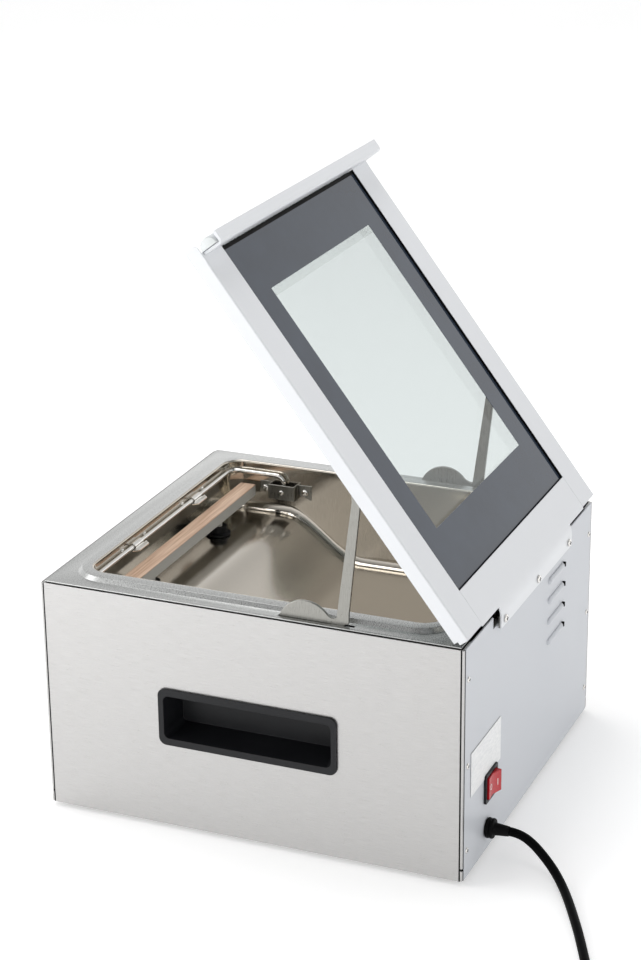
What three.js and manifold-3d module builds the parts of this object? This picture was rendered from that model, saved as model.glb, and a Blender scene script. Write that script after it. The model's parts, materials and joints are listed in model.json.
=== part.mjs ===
// Table-top chamber vacuum sealer with its lid open. Millimetres, +Z up, front of the machine at -Y.
// The origin is on the table, under the middle of the case. The rest pose has the lid open on its stop.
import * as THREE from 'three';
import { mergeVertices } from 'three/addons/utils/BufferGeometryUtils.js';
import Module from 'manifold-3d';

const wasm = await Module();
wasm.setup();

// ---- driving dimensions ----
const FOOT_H = 4;
const CASE_W = 360;
const CASE_D = 393;
const CASE_H = 215;
const SHEET = 1.2;
const GAP = 0.3;
const CORNER_GAP = 0.8;
const TOP = FOOT_H + CASE_H;
const HALF_W = CASE_W / 2;
const HALF_D = CASE_D / 2;
const REACH = HALF_D + 6.7; // how far the tab screws at the rear, and the buttons at the front, stand out

const FLANGE_TOP = TOP + 1.7;
const FLANGE_W = 178;
const FLANGE_D = 193;
const RING_TOP = TOP + 5.5;
const RING = { x: 165, front: -179, rear: 175, r: 31, draft: 2.5 };
const TUB = { x: 152, front: -167, rear: 163, r: 19, draft: 4 };
const SHELF_Z = FOOT_H + 173;
const FLOOR_Z = FOOT_H + 130;
const RAMP_START = -106;
const RAMP_END = -24;

const PORT = { x: -70, y: 128, length: 26 };

const HINGE_Y = 182.6;
const HINGE_Z = FOOT_H + 210;
const PIN_R = 2;
const KNUCKLE_R = 3.8;
const OPEN = THREE.MathUtils.degToRad(52.7); // the lid's opening angle in the rest pose
const LID_HALF_W = 177.15;
const LID_LEN = 381;
const LID_FLANGE = 13;
const LID_FACE = 21; // height of the lid's outer face above the hinge axis when it is shut
const LID_REAR = -1.34; // rear edge of that face, from the hinge axis
const PANE_HALF_W = 142.3;
const PANE_REAR = 33.6;
const PANE_FRONT = 378;
const GRIP_DEPTH = 12;
const GLASS_T = 6;
const GLASS_TOP = -2;
const TAB_HALF_W = 100;
const TAB_OUT = HALF_D + 4.5;
const TAB_BOTTOM = FOOT_H + 202;
const TAB_BEND_R = 25;
const TAB_L = 10.1; // straight length of the tab below the bend
const TAB_SCREW_Z = FOOT_H + 208;
const TAB_SCREW_XS = [-90, 0, 90];

const ARM_X = 171;
const ARM_T = 3;
const ARM_PIVOT = { s: 155, n: -7.4 };
const SLOT_FRONT = 27.2;
const SLOT_REAR = 96.2;
const SLOT_STEP = 76;

const HANDLE_Z = FOOT_H + 106.5;
const HANDLE = { y: -0.75, l: 168, h: 54, innerL: 157, innerH: 40, deep: 28, wall: 1.4, draft: 4 };

const BAR = { y0: -151.5, y1: -135.5, halfL: 142.5, bottom: FOOT_H + 188.6, top: FOOT_H + 200 };
const ROD_X = 72;
const WIRE_R = 2.2;
const BAIL_Z = FOOT_H + 211;
const BAIL_X = 145.5;
const BAIL_FRONT = -162;
const BAIL_END = -106;

const SWITCH = { x: 111.5, z: FOOT_H + 61, w: 31, h: 27.5 };
const GLAND = { x: 117.9, z: FOOT_H + 21, r: 9.2, out: 7.4, boot: 13 };
const CORD_R = 4;
const COIL = { x: 364, y: 322, inner: 35.5, outer: 51.5, low: 1.9, high: 17.9, top: 25.9 };
const PLUG = { r: 18.5 };

const BUTTON_XS = [-62, -30, 2];
const BUTTON_Z = FOOT_H + 150;

// ---- materials ----
const look = (color, roughness, metalness) => new THREE.MeshStandardMaterial({ color, roughness, metalness });
const brushedSteel = () => look(0xc9c7c2, 0.38, 1);
const polishedSteel = () => look(0xcfcac0, 0.2, 1);
const greyPaint = () => look(0xc9cdd0, 0.5, 0);
const whitePaint = () => look(0xf1f2f3, 0.45, 0);
const blackPlastic = () => look(0x17181a, 0.5, 0);
const rubber = () => look(0x1b1b1c, 0.85, 0);
const castMetal = () => look(0x5c6064, 0.6, 0.6);

// ---- solids: boolean cuts and joins ----
function toSolid(geometry) {
  const bare = geometry.clone();
  bare.deleteAttribute('normal');
  bare.deleteAttribute('uv');
  const welded = mergeVertices(bare, 1e-4);
  const mesh = new wasm.Mesh({
    numProp: 3,
    vertProperties: new Float32Array(welded.attributes.position.array),
    triVerts: new Uint32Array(welded.index.array),
  });
  return new wasm.Manifold(mesh);
}

function toGeometry(manifold) {
  const mesh = manifold.getMesh();
  const geometry = new THREE.BufferGeometry();
  geometry.setAttribute('position', new THREE.BufferAttribute(mesh.vertProperties, 3));
  geometry.setIndex(new THREE.BufferAttribute(mesh.triVerts, 1));
  return geometry;
}

const join = (...parts) => toGeometry(parts.map(toSolid).reduce((a, b) => a.add(b)));
const cut = (body, ...tools) => toGeometry(tools.map(toSolid).reduce((a, b) => a.subtract(b), toSolid(body)));
const common = (a, b) => toGeometry(toSolid(a).intersect(toSolid(b)));

// ---- simple shapes ----
function box(x0, x1, y0, y1, z0, z1) {
  const geometry = new THREE.BoxGeometry(x1 - x0, y1 - y0, z1 - z0);
  return geometry.translate((x0 + x1) / 2, (y0 + y1) / 2, (z0 + z1) / 2);
}

// a cylinder along an axis; `from` is one end's centre
function rod(axis, radius, length, from, sides = 20) {
  const geometry = new THREE.CylinderGeometry(radius, radius, length, sides).translate(0, length / 2, 0);
  if (axis === 'x') geometry.rotateZ(-Math.PI / 2);
  if (axis === 'z') geometry.rotateX(Math.PI / 2);
  return geometry.translate(...from);
}

function tube(axis, outer, inner, length, from, sides = 20) {
  const bore = from.map((value, i) => (['x', 'y', 'z'][i] === axis ? value - 1 : value));
  return cut(rod(axis, outer, length, from, sides), rod(axis, inner, length + 2, bore, sides));
}

// a lathed piece about a line through `at`, along an axis; the profile is [radius, distance]
function turned(axis, profile, at, sides = 20) {
  const geometry = new THREE.LatheGeometry(profile.map(([r, d]) => new THREE.Vector2(r, d)), sides);
  if (axis === 'x') geometry.rotateZ(-Math.PI / 2);
  if (axis === '-y') geometry.rotateX(Math.PI);
  if (axis === 'z') geometry.rotateX(Math.PI / 2);
  return geometry.translate(...at);
}

function outline(points) {
  return new THREE.Shape(points.map(([a, b]) => new THREE.Vector2(a, b)));
}

const extrude = (shape, depth, curveSegments = 6) => new THREE.ExtrudeGeometry(shape, {
  depth, bevelEnabled: false, curveSegments,
});

const ALONG_X = new THREE.Matrix4().makeBasis(
  new THREE.Vector3(0, 1, 0), new THREE.Vector3(0, 0, 1), new THREE.Vector3(1, 0, 0),
);

// shape drawn in (y, z), extruded from x0 to x1
const alongX = (shape, x0, x1, segments) => (
  extrude(shape, x1 - x0, segments).applyMatrix4(ALONG_X).translate(x0, 0, 0)
);
// shape drawn in (x, z), extruded from y0 to y1
const alongY = (shape, y0, y1, segments) => (
  extrude(shape, y1 - y0, segments).rotateX(Math.PI / 2).translate(0, y1, 0)
);
// shape drawn in (x, y), extruded from z0 to z1
const alongZ = (shape, z0, z1, segments) => extrude(shape, z1 - z0, segments).translate(0, 0, z0);

function roundedRect(x0, x1, y0, y1, r) {
  const shape = new THREE.Shape();
  shape.moveTo(x0 + r, y0);
  shape.lineTo(x1 - r, y0);
  shape.absarc(x1 - r, y0 + r, r, -Math.PI / 2, 0);
  shape.lineTo(x1, y1 - r);
  shape.absarc(x1 - r, y1 - r, r, 0, Math.PI / 2);
  shape.lineTo(x0 + r, y1);
  shape.absarc(x0 + r, y1 - r, r, Math.PI / 2, Math.PI);
  shape.lineTo(x0, y0 + r);
  shape.absarc(x0 + r, y0 + r, r, Math.PI, Math.PI * 1.5);
  return shape;
}

// leans a block's walls: each moves in by `slope` for each millimetre above the plane z
function lean(geometry, middleY, z, slope) {
  const p = geometry.attributes.position;
  for (let i = 0; i < p.count; i += 1) {
    const shift = slope * (p.getZ(i) - z);
    p.setX(i, p.getX(i) - Math.sign(p.getX(i)) * shift);
    p.setY(i, p.getY(i) - Math.sign(p.getY(i) - middleY) * shift);
  }
  return geometry;
}

// a pan-head screw: domed head outside the face at `at`, and a short shank through it
function screw(axis, at, headR, headH, shank) {
  const dome = [[0, -shank], [headR * 0.45, -shank], [headR * 0.45, 0.1], [headR, 0.1], [headR, headH * 0.55],
    [headR * 0.7, headH * 0.92], [0, headH]];
  return turned(axis, dome, at, 16);
}

// ---- scene ----
const machine = new THREE.Group();
function add(name, geometry, material, parent = machine) {
  const mesh = new THREE.Mesh(geometry, material);
  mesh.name = name;
  parent.add(mesh);
  return mesh;
}

// drawn for the right-hand side, and mirrored for the left
function addPair(name, geometry, material, parent = machine) {
  for (const [hand, side] of [['left', -1], ['right', 1]]) {
    add(name.replace('*', hand), geometry, material, parent).scale.x = side;
  }
}

// ---- case ----
function feet() {
  const profile = [[0, 0], [9, 0], [10.5, 1.2], [11, FOOT_H - GAP], [0, FOOT_H - GAP]];
  for (const [end, y] of [['front', -172], ['rear', 172]]) {
    addPair(`*_${end}_foot`, turned('z', profile, [158, y, 0]), rubber());
  }
}

function basePan() {
  const w = HALF_W - 3;
  const d = HALF_D - 3;
  const tray = cut(box(-w, w, -d, d, FOOT_H, FOOT_H + 8),
    box(-w + SHEET, w - SHEET, -d + SHEET, d - SHEET, FOOT_H + SHEET, FOOT_H + 20));
  add('base_pan', tray, brushedSteel());
}

// four folded posts, whose rounded noses show as bright lines between the panels, joined by a band
function caseFrame() {
  const [w, d] = [HALF_W, HALF_D];
  const section = [
    [w - 20, d - 2.7], [w - 2.7, d - 2.7], [w - 2.7, d - 20], [w - 1.5, d - 20], [w - 1.5, d - 2.6],
    [w - 0.5, d - 2.6], [w - 0.3, d - 2.4], [w - 0.3, d - 0.7], [w - 0.7, d - 0.3], [w - 2.4, d - 0.3],
    [w - 2.6, d - 0.5], [w - 2.6, d - 1.5], [w - 20, d - 1.5],
  ];
  const posts = [[1, 1], [-1, 1], [1, -1], [-1, -1]]
    .map(([sx, sy]) => alongZ(outline(section.map(([x, y]) => [x * sx, y * sy])), FOOT_H + 12.3, TOP - 0.3));
  const [x, y] = [w - 1.5, d - 1.5];
  const band = cut(box(-x, x, -y, y, FOOT_H + 32, FOOT_H + 42),
    box(-x + SHEET, x - SHEET, -y + SHEET, y - SHEET, FOOT_H, FOOT_H + 60));
  add('case_frame', join(band, ...posts), brushedSteel());
}

function sidePanels() {
  const d = HALF_D - 2.6 - CORNER_GAP;
  const plate = box(HALF_W - SHEET, HALF_W, -d, d, FOOT_H, TOP);
  addPair('*_side_panel', cut(plate, handleBlock(HANDLE.wall + GAP, HALF_W - 10, HALF_W + 10)), brushedSteel());
}

// the handle recess's outline, grown by `grow`, as a block from x0 to x1
function handleBlock(grow, x0, x1) {
  const { y, innerL, innerH } = HANDLE;
  const [l, h] = [innerL / 2 + grow, innerH / 2 + grow];
  return alongX(roundedRect(y - l, y + l, HANDLE_Z - h, HANDLE_Z + h, 5 + grow), x0, x1, 3);
}

// draws the inner end of a recess block in, so that its walls slope
function sloped(geometry) {
  const p = geometry.attributes.position;
  for (let i = 0; i < p.count; i += 1) {
    const shift = HANDLE.draft * (HALF_W - p.getX(i)) / HANDLE.deep;
    p.setY(i, p.getY(i) - Math.sign(p.getY(i) - HANDLE.y) * shift);
    p.setZ(i, p.getZ(i) - Math.sign(p.getZ(i) - HANDLE_Z) * shift);
  }
  return geometry;
}

function carryHandles() {
  const { y, l, h, deep, wall } = HANDLE;
  const rim = roundedRect(y - l / 2, y + l / 2, HANDLE_Z - h / 2, HANDLE_Z + h / 2, 7);
  const bezel = alongX(rim, HALF_W + GAP, HALF_W + 2.2, 4);
  const cup = sloped(handleBlock(wall, HALF_W - deep - wall, HALF_W + 2));
  const hollow = sloped(handleBlock(0, HALF_W - deep, HALF_W + 10));
  addPair('*_carry_handle', cut(join(bezel, cup), hollow), blackPlastic());
}

function frontPanel() {
  const w = HALF_W - 2.6 - CORNER_GAP;
  const plate = box(-w, w, -HALF_D, -HALF_D + SHEET, FOOT_H, TOP);
  const holes = BUTTON_XS.map((x) => rod('y', 5.6, 10, [x, -HALF_D - 5, BUTTON_Z], 20));
  add('front_panel', cut(plate, ...holes), brushedSteel());
}

const LOUVRE = { x0: -89, x1: -45, zs: [126, 146, 166.6, 186].map((z) => z + FOOT_H), out: 3.2, h: 7 };

function rearPanel() {
  const w = HALF_W - 2.6 - CORNER_GAP;
  const plate = box(-w, w, HALF_D - SHEET, HALF_D, FOOT_H, TOP);
  const notch = box(-108, 108, HALF_D - 10, HALF_D + 10, FOOT_H + 204.1, TOP + 10);
  const half = [SWITCH.w / 2 - 2, SWITCH.h / 2 - 2];
  const [left, right] = [SWITCH.x - half[0], SWITCH.x + half[0]];
  const switchHole = box(left, right, HALF_D - 10, HALF_D + 10, SWITCH.z - half[1], SWITCH.z + half[1]);
  const glandHole = rod('y', 6.4, 20, [GLAND.x, HALF_D - 10, GLAND.z], 24);
  // each louvre is a long pressed hood, open at its far end and behind
  const blister = (inset) => LOUVRE.zs.map((z) => (
    new THREE.CapsuleGeometry(LOUVRE.h / 2 - inset, LOUVRE.x1 - LOUVRE.x0 - LOUVRE.h, 4, 12)
      .rotateZ(Math.PI / 2)
      .scale(1, (LOUVRE.out - inset) / (LOUVRE.h / 2 - inset), 1)
      .translate((LOUVRE.x0 + LOUVRE.x1) / 2, HALF_D - 0.4, z)
  ));
  const hoods = blister(0);
  const inner = blister(1);
  const behind = box(-w, w, HALF_D - 12, HALF_D - SHEET, FOOT_H, TOP);
  add('rear_panel', cut(join(plate, ...hoods), ...inner, behind, notch, switchHole, glandHole), greyPaint());
}

function ratingPlate() {
  const film = box(85, 162, HALF_D + GAP, HALF_D + 0.7, FOOT_H + 72, FOOT_H + 113);
  const { x, z, w, h } = SWITCH;
  const edge = roundedRect(x - w / 2 - GAP, x + w / 2 + GAP, z - h / 2 - GAP, z + h / 2 + GAP, 2);
  add('rating_plate', cut(film, alongY(edge, HALF_D, HALF_D + 2, 3)), look(0xe9eaea, 0.5, 0));
}

function controls() {
  const face = HALF_D + 3.2;
  const pad = alongY(roundedRect(-84, 84, BUTTON_Z - 31, BUTTON_Z + 31, 6), -face, -HALF_D - GAP, 4);
  const holes = BUTTON_XS.map((x) => rod('y', 6.4, 20, [x, -HALF_D - 12, BUTTON_Z], 20));
  const window = box(32, 74, -HALF_D - 10, -HALF_D + 5, BUTTON_Z - 14, BUTTON_Z + 14);
  add('control_panel', cut(pad, ...holes, window), blackPlastic());
  const lens = box(32.3, 73.7, -face + 0.6, -HALF_D - GAP, BUTTON_Z - 13.7, BUTTON_Z + 13.7);
  add('display_window', lens, look(0x0b0f12, 0.1, 0));
  BUTTON_XS.forEach((x, i) => {
    const button = turned('z', [[0, 0], [5.2, 0], [6, 1], [6, 5], [4.8, 5], [4.8, 8], [0, 8]], [0, 0, 0]);
    const mesh = add(`push_button_${i + 1}`, button, look(0xb9bdc0, 0.4, 0));
    mesh.rotation.x = -Math.PI / 2;
    mesh.position.set(x, -REACH, BUTTON_Z);
  });
}

function powerSwitch() {
  const { x, z, w, h } = SWITCH;
  const frame = alongY(roundedRect(x - w / 2, x + w / 2, z - h / 2, z + h / 2, 2), HALF_D + GAP, HALF_D + 2.4, 3);
  const body = box(x - w / 2 + 2.3, x + w / 2 - 2.3, HALF_D - 22, HALF_D + 1, z - h / 2 + 2.3, z + h / 2 - 2.3);
  const well = box(x - 12.4, x + 12.4, HALF_D - 14, HALF_D + 10, z - 10.6, z + 10.6);
  add('switch_bezel', cut(join(frame, body), well), blackPlastic());
  // a shallow V in plan, on a round back about the pivot, tipped to its pressed side
  const rocker = new THREE.Shape();
  rocker.moveTo(-11.2, 6.6);
  rocker.lineTo(0, 4.1);
  rocker.lineTo(11.2, 6.6);
  rocker.lineTo(11.2, 0);
  rocker.absarc(0, 0, 6, -0.4, -Math.PI + 0.4, true);
  rocker.lineTo(-11.2, 0);
  const solid = extrude(rocker, 20.4, 6).translate(0, 0, -10.2).rotateZ(THREE.MathUtils.degToRad(-9));
  const mesh = add('power_rocker', solid, look(0xc41f2b, 0.3, 0));
  mesh.position.set(x, HALF_D - 0.6, z);
}

// ---- chamber ----
function floorHeight(y) {
  if (y <= RAMP_START) return SHELF_Z;
  if (y >= RAMP_END) return FLOOR_Z;
  const t = (y - RAMP_START) / (RAMP_END - RAMP_START);
  return FLOOR_Z + (SHELF_Z - FLOOR_Z) * 0.5 * (1 + Math.cos(Math.PI * t));
}

// everything above the chamber floor, lowered by `drop`
function aboveFloor(drop) {
  const points = [[-230, SHELF_Z - drop]];
  const steps = 12;
  for (let i = 0; i <= steps; i += 1) {
    const y = RAMP_START + (RAMP_END - RAMP_START) * i / steps;
    points.push([y, floorHeight(y) - drop]);
  }
  points.push([230, FLOOR_Z - drop], [230, 300], [-230, 300]);
  return alongX(outline(points), -200, 200);
}

function chamberBasin() {
  const middle = (TUB.front + TUB.rear) / 2;
  const tubSlope = -TUB.draft / (RING_TOP - FLOOR_Z);
  const ringSlope = RING.draft / (RING_TOP - FLANGE_TOP);
  const block = (plan, grow, z0, z1) => alongZ(
    roundedRect(-plan.x - grow, plan.x + grow, plan.front - grow, plan.rear + grow, plan.r + grow), z0, z1, 6,
  );
  const well = (grow, z0, z1) => lean(block(TUB, grow, z0, z1), middle, RING_TOP, tubSlope);
  const flange = box(-FLANGE_W, FLANGE_W, -FLANGE_D, FLANGE_D, FLANGE_TOP - SHEET, FLANGE_TOP);
  const ring = (grow, z0, z1) => lean(block(RING, grow, z0, z1), middle, FLANGE_TOP, ringSlope);
  const raised = ring(-SHEET * 1.4, FLANGE_TOP - SHEET - 1, RING_TOP - SHEET);
  const underRing = cut(raised, block(TUB, SHEET, 200, 240));
  const outer = common(well(SHEET, FLOOR_Z - 5, RING_TOP - 0.1), aboveFloor(SHEET));
  const inner = common(well(0, FLOOR_Z - 5, RING_TOP + 5), aboveFloor(0));
  // the slots are narrower behind SLOT_STEP, where only the straight bar passes
  const near = ARM_X - 2.4;
  const slots = [[SLOT_FRONT, SLOT_STEP, ARM_X + 2.4], [SLOT_STEP - 1, SLOT_REAR, ARM_X + ARM_T / 2 + 0.4]]
    .flatMap(([y0, y1, far]) => [box(near, far, y0, y1, 200, 240), box(-far, -near, y0, y1, 200, 240)]);
  const hingeNotch = box(-104, 104, 184.4, 220, 200, 240);
  const rodHoles = [-ROD_X, ROD_X].map((x) => rod('z', 10.4, 60, [x, (BAR.y0 + BAR.y1) / 2, SHELF_Z - 30], 24));
  const portHole = rod('z', 7.4, 40, [PORT.x, PORT.y, FLOOR_Z - 20], 20);
  const shell = join(flange, ring(0, FLANGE_TOP - 0.2, RING_TOP), outer);
  add('chamber_basin', cut(shell, inner, underRing, ...slots, hingeNotch, ...rodHoles, portHole), polishedSteel());
}

function chamberPort() {
  const { x, y, length } = PORT;
  const profile = [[0, -length], [4.5, -length], [4.5, -8], [7, -8], [7, GAP], [11, GAP], [10, 2.4], [0, 3]];
  const nozzle = turned('z', profile, [x, y, FLOOR_Z]);
  add('chamber_port', cut(nozzle, rod('z', 2.5, 60, [x, y, FLOOR_Z - 40], 12)), look(0xb7a264, 0.35, 1));
}

// the bar stands on two rods, which two lifting cylinders joined by an air rail push up
function sealBar() {
  const { y0, y1, halfL, bottom, top } = BAR;
  const y = (y0 + y1) / 2;
  const low = SHELF_Z - 20;
  const rods = [-ROD_X, ROD_X].map((x) => rod('z', 4, bottom + 1 - low, [x, y, low], 16));
  add('seal_bar', join(box(-halfL, halfL, y0, y1, bottom, top - 1.3), ...rods), look(0x8d8f8b, 0.42, 1));
  add('seal_bar_tape', box(-halfL, halfL, y0, y1, top - 1, top), look(0xd6b493, 0.7, 0));
  const profile = [
    [4.4, -16], [9.8, -16], [9.8, GAP], [12, GAP], [12, 2.6], [8.6, 2.8], [8.6, 9], [4.4, 9], [4.4, -16],
  ];
  const cylinders = [-ROD_X, ROD_X].map((x) => turned('z', profile, [x, y, SHELF_Z]));
  const rail = box(-ROD_X + 9, ROD_X - 9, y - 3, y + 3, SHELF_Z - 13, SHELF_Z - 6);
  add('seal_bar_lift', join(...cylinders, rail), blackPlastic());
}

// polished wire bent to a wide U, its two ends turned down into the brackets
function bagBail() {
  const [x, rear, front, z, r] = [BAIL_X, BAIL_END, BAIL_FRONT, BAIL_Z, 10];
  const half = [[x, front, z], [x, rear, z], [x, rear, z - 15]];
  const corners = [...half.map(([px, ...rest]) => [-px, ...rest]).reverse(), ...half];
  add('bag_bail', tubeAlong(rounded(corners, r, 4), WIRE_R, 10), look(0xd8d8d6, 0.12, 1));
  const sleeve = tube('x', WIRE_R + 1.3, WIRE_R + GAP, 16, [-8, 0, 0], 14);
  const tongue = alongZ(outline([[-14, 3], [14, 3], [9, 8], [-9, 8]]), -2.2, -0.9);
  const clip = cut(join(sleeve, tongue), rod('x', WIRE_R + GAP, 60, [-30, 0, 0], 14));
  for (const [hand, side] of [['left', -1], ['right', 1]]) {
    add(`${hand}_bag_clip`, clip, look(0xd8d8d6, 0.12, 1)).position.set(62 * side, front, z);
  }
}

// the polyline through `corners`, each inner corner rounded at radius `r` with `steps` chords
function rounded(corners, r, steps) {
  const spots = corners.map((c) => new THREE.Vector3(...c));
  const path = [spots[0]];
  for (let i = 1; i + 1 < spots.length; i += 1) {
    const before = spots[i - 1].clone().sub(spots[i]).setLength(r).add(spots[i]);
    const after = spots[i + 1].clone().sub(spots[i]).setLength(r).add(spots[i]);
    path.push(...new THREE.QuadraticBezierCurve3(before, spots[i], after).getPoints(steps));
  }
  path.push(spots[spots.length - 1]);
  return path;
}

// a curve that steps from point to point, so that a sweep along it has a ring at each of them
class Stepped extends THREE.Curve {
  constructor(points) {
    super();
    this.points = points;
  }

  getPointAt(u) {
    return this.points[Math.round(u * (this.points.length - 1))].clone();
  }

  getTangentAt(u) {
    const last = this.points.length - 1;
    const i = Math.round(u * last);
    return this.points[Math.min(i + 1, last)].clone().sub(this.points[Math.max(i - 1, 0)]).normalize();
  }
}

// a round, solid tube through points
function tubeAlong(points, radius, sides) {
  const circle = new THREE.Shape();
  circle.absarc(0, 0, radius, 0, 2 * Math.PI);
  return new THREE.ExtrudeGeometry(circle, {
    steps: points.length - 1, curveSegments: sides / 2, bevelEnabled: false, extrudePath: new Stepped(points),
  });
}

// hat-section brackets on the chamber's side walls, which the bail's ends slide in
function bailBrackets() {
  const [wall, face, t] = [150.2, 142.1, 1.5];
  const [a, b, c, d] = [-133, -121, -93, -78];
  const hat = outline([
    [wall, a], [wall, b + t], [face, b + t], [face, c - t], [wall, c - t], [wall, d],
    [wall - t, d], [wall - t, c], [face - t, c], [face - t, b], [wall - t, b], [wall - t, a],
  ]);
  addPair('*_bail_bracket', alongZ(hat, FOOT_H + 188, FOOT_H + 203), brushedSteel());
}

// ---- inside the case ----
function insides() {
  const z = FOOT_H + 66;
  const floor = FOOT_H + SHEET + GAP;
  const shell = [[0, 0], [44, 0], [50, 8], [50, 118], [40, 128], [0, 128]];
  const saddle = (x0, x1) => box(x0, x1, 10, 70, floor, z - 30);
  add('pump_motor', join(turned('x', shell, [-140, 40, z], 28), saddle(-110, -50)), castMetal());
  const cylinder = box(46, 62, 4, 76, z - 30, z + 30);
  add('pump_head', join(box(-11.5, 46.5, -12, 92, z - 50, z + 46), cylinder, saddle(-4, 36)), castMetal());
  add('transformer', box(95, 165, -140, -70, floor, FOOT_H + 60), look(0x6a4a2c, 0.6, 0.3));
  const standoffs = [[-92, 111], [82, 111], [-92, 159], [82, 159]]
    .map(([x, h]) => rod('y', 3, 18, [x, -HALF_D + SHEET + GAP, FOOT_H + h], 12));
  const board = box(-100, 90, -178, -176.4, FOOT_H + 105, FOOT_H + 165);
  add('control_board', join(board, ...standoffs), look(0x1f5a33, 0.5, 0));
  const coil = rod('z', 12, 34, [70, 130, FOOT_H + 40]);
  const body = box(56, 84, 116, 144, FOOT_H + 24, FOOT_H + 42);
  const valve = join(coil, body, box(64, 76, 124, 136, floor, FOOT_H + 25));
  add('solenoid_valve', valve, look(0x9a7d3c, 0.4, 0.8));
  const level = FLOOR_Z - 66;
  const route = [
    [PORT.x, PORT.y, FLOOR_Z - PORT.length - GAP], [PORT.x, PORT.y, level], [18, PORT.y, level], [18, 92 + GAP, level],
  ];
  add('vacuum_hose', tubeAlong(rounded(route, 24, 5), 6, 10), rubber());
}

// ---- hinge ----
// a bracket behind the rear panel carries the pin; the leaf, which turns with the lid, comes over the panel
function hinge() {
  const fixed = [[-98, -70], [70, 98]];
  const turning = [[-69.6, -30.4], [30.4, 69.6]];
  const knuckles = (spans) => spans.map(([a, b]) => rod('x', KNUCKLE_R, b - a, [a, HINGE_Y, HINGE_Z]));
  const bore = rod('x', PIN_R + 0.15, 400, [-200, HINGE_Y, HINGE_Z]);
  const back = HALF_D - SHEET - GAP;
  const shelf = FOOT_H + 201;
  const bracket = [
    box(-98, 98, back - 1.7, back, FOOT_H + 178, shelf),
    box(-98, 98, HINGE_Y - 4, back, shelf - 1.7, shelf),
  ];
  const webs = fixed.map(([a, b]) => box(a, b, HINGE_Y - 1, HINGE_Y + 1, shelf - 0.5, HINGE_Z));
  add('hinge_bracket', cut(join(...bracket, ...webs, ...knuckles(fixed)), bore), brushedSteel());

  const face = TAB_OUT - SHEET - GAP;
  const plate = box(-98, 98, face - 2, face, TAB_BOTTOM - 0.5, HINGE_Z + 1.6);
  const straps = turning.map(([a, b]) => box(a, b, HINGE_Y, face - 1, HINGE_Z - 0.4, HINGE_Z + 1.6));
  const holes = TAB_SCREW_XS.map((x) => rod('y', 2.2, 20, [x, face - 10, TAB_SCREW_Z], 12));
  add('hinge_leaf', cut(join(plate, ...straps, ...knuckles(turning)), bore, ...holes), brushedSteel());
  add('hinge_pin', rod('x', PIN_R, 200, [-100, HINGE_Y, HINGE_Z]), polishedSteel());
  TAB_SCREW_XS.forEach((x, i) => {
    const head = screw('y', [x, TAB_OUT + 0.2, TAB_SCREW_Z], 3.6, REACH - TAB_OUT - 0.2, 4);
    add(`lid_screw_${i + 1}`, head, polishedSteel());
  });

  const legs = [
    box(-27, -23, HINGE_Y, face - 2.3, HINGE_Z - 5, HINGE_Z - 3),
    box(23, 27, HINGE_Y - 3, HINGE_Y - 1, shelf + GAP, HINGE_Z),
  ];
  const spring = join(rod('x', 5, 56, [-28, HINGE_Y, HINGE_Z]), ...legs);
  add('lid_spring', cut(spring, rod('x', PIN_R + GAP, 400, [-200, HINGE_Y, HINGE_Z])), brushedSteel());
}

// ---- lid: drawn shut, in a group that turns about the hinge axis to its open pose ----
const lid = new THREE.Group();
lid.position.set(0, HINGE_Y, HINGE_Z);
lid.rotation.x = -OPEN;
machine.add(lid);

const alongLid = (s) => LID_REAR - s; // distance from the lid's rear edge, as y in the lid's group
const overFace = (n) => LID_FACE + n; // height over the lid's outer face, as z in the lid's group

function lidSides() {
  const section = new THREE.Shape();
  const [x0, x1, r] = [PANE_HALF_W + 0.1, LID_HALF_W, 1.6];
  section.moveTo(x0, overFace(-SHEET));
  section.lineTo(x1 - SHEET, overFace(-SHEET));
  section.lineTo(x1 - SHEET, overFace(-LID_FLANGE));
  section.lineTo(x1, overFace(-LID_FLANGE));
  section.absarc(x1 - r, overFace(-r), r, 0, Math.PI / 2);
  section.lineTo(x0, overFace(0));
  const strip = alongY(section, alongLid(LID_LEN), alongLid(0), 4);
  const [far, near] = [alongLid(LID_LEN + 8), alongLid(LID_LEN - 11)];
  const cheek = roundedRect(far, near, overFace(-LID_FLANGE), overFace(-0.3), 3.5);
  // the flange's rear corner is nipped off, clear of the deck when the lid is open
  const nip = box(x1 - 5, x1 + 5, alongLid(3.2), alongLid(-5), overFace(-LID_FLANGE - 5), overFace(-9));
  addPair('lid_*_side', cut(join(strip, alongX(cheek, x1 - SHEET, x1, 3)), nip), whitePaint(), lid);
}

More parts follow.
